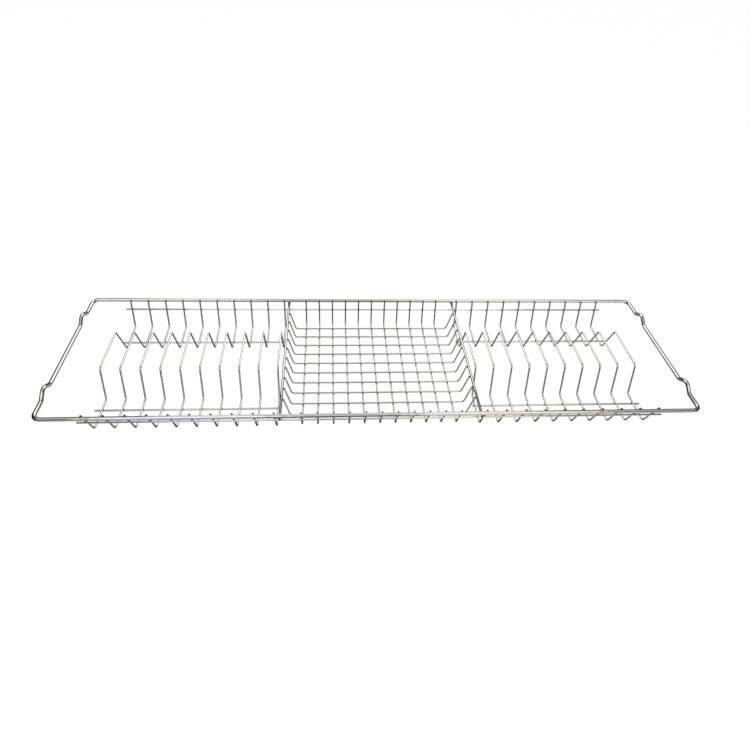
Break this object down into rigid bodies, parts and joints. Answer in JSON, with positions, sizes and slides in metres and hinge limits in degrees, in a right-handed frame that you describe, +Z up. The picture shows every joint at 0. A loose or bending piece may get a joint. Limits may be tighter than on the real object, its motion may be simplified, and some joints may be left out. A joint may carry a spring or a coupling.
{
  "type": "dish drainer",
  "caption": "Flat chromed wire dish drainer for a cabinet: a rectangular frame with raised saddles, a rack of bent plate wires on each side and a shallow cup basket between them.",
  "frame": {"origin": "under the middle of the frame, on the surface that the rest rods stand on", "axes": "+X along the long rails to the right, +Y to the cabinet's back wall, +Z up"},
  "size_m": [0.966, 0.28, 0.0612],
  "materials": {
    "frame_chrome": "bright chrome plating on thick steel wire",
    "divider_chrome": "bright chrome plating on steel wire",
    "plate_wire_chrome": "bright chrome plating on thin steel wire",
    "cross_wire_chrome": "bright chrome plating on thin steel wire",
    "long_wire_chrome": "bright chrome plating on thin steel wire",
    "stringer_chrome": "bright chrome plating on thin steel wire",
    "rest_chrome": "chrome plating on steel wire, a little duller than the rest"
  },
  "bodies": {
    "root": {"frame_loop": "frame_chrome", "divider_left": "divider_chrome", "divider_right": "divider_chrome", "plate_wire_left_01": "plate_wire_chrome", "plate_wire_left_02": "plate_wire_chrome", "plate_wire_left_03": "plate_wire_chrome", "plate_wire_left_04": "plate_wire_chrome", "plate_wire_left_05": "plate_wire_chrome", "plate_wire_left_06": "plate_wire_chrome", "plate_wire_left_07": "plate_wire_chrome", "plate_wire_left_08": "plate_wire_chrome", "plate_wire_left_09": "plate_wire_chrome", "plate_wire_left_10": "plate_wire_chrome", "plate_wire_right_01": "plate_wire_chrome", "plate_wire_right_02": "plate_wire_chrome", "plate_wire_right_03": "plate_wire_chrome", "plate_wire_right_04": "plate_wire_chrome", "plate_wire_right_05": "plate_wire_chrome", "plate_wire_right_06": "plate_wire_chrome", "plate_wire_right_07": "plate_wire_chrome", "plate_wire_right_08": "plate_wire_chrome", "plate_wire_right_09": "plate_wire_chrome", "plate_wire_right_10": "plate_wire_chrome", "basket_cross_wire_01": "cross_wire_chrome", "basket_cross_wire_02": "cross_wire_chrome", "basket_cross_wire_03": "cross_wire_chrome", "basket_cross_wire_04": "cross_wire_chrome", "basket_cross_wire_05": "cross_wire_chrome", "basket_cross_wire_06": "cross_wire_chrome", "basket_cross_wire_07": "cross_wire_chrome", "basket_cross_wire_08": "cross_wire_chrome", "basket_cross_wire_09": "cross_wire_chrome", "basket_cross_wire_10": "cross_wire_chrome", "basket_cross_wire_11": "cross_wire_chrome", "basket_long_wire_01": "long_wire_chrome", "basket_long_wire_02": "long_wire_chrome", "basket_long_wire_03": "long_wire_chrome", "basket_long_wire_04": "long_wire_chrome", "basket_long_wire_05": "long_wire_chrome", "basket_long_wire_06": "long_wire_chrome", "basket_long_wire_07": "long_wire_chrome", "basket_long_wire_08": "long_wire_chrome", "basket_long_wire_09": "long_wire_chrome", "basket_long_wire_10": "long_wire_chrome", "back_stringer": "stringer_chrome", "front_stringer": "stringer_chrome", "plate_rest_left_back": "rest_chrome", "plate_rest_left_front": "rest_chrome", "plate_rest_right_back": "rest_chrome", "plate_rest_right_front": "rest_chrome"}
  },
  "joints": []
}
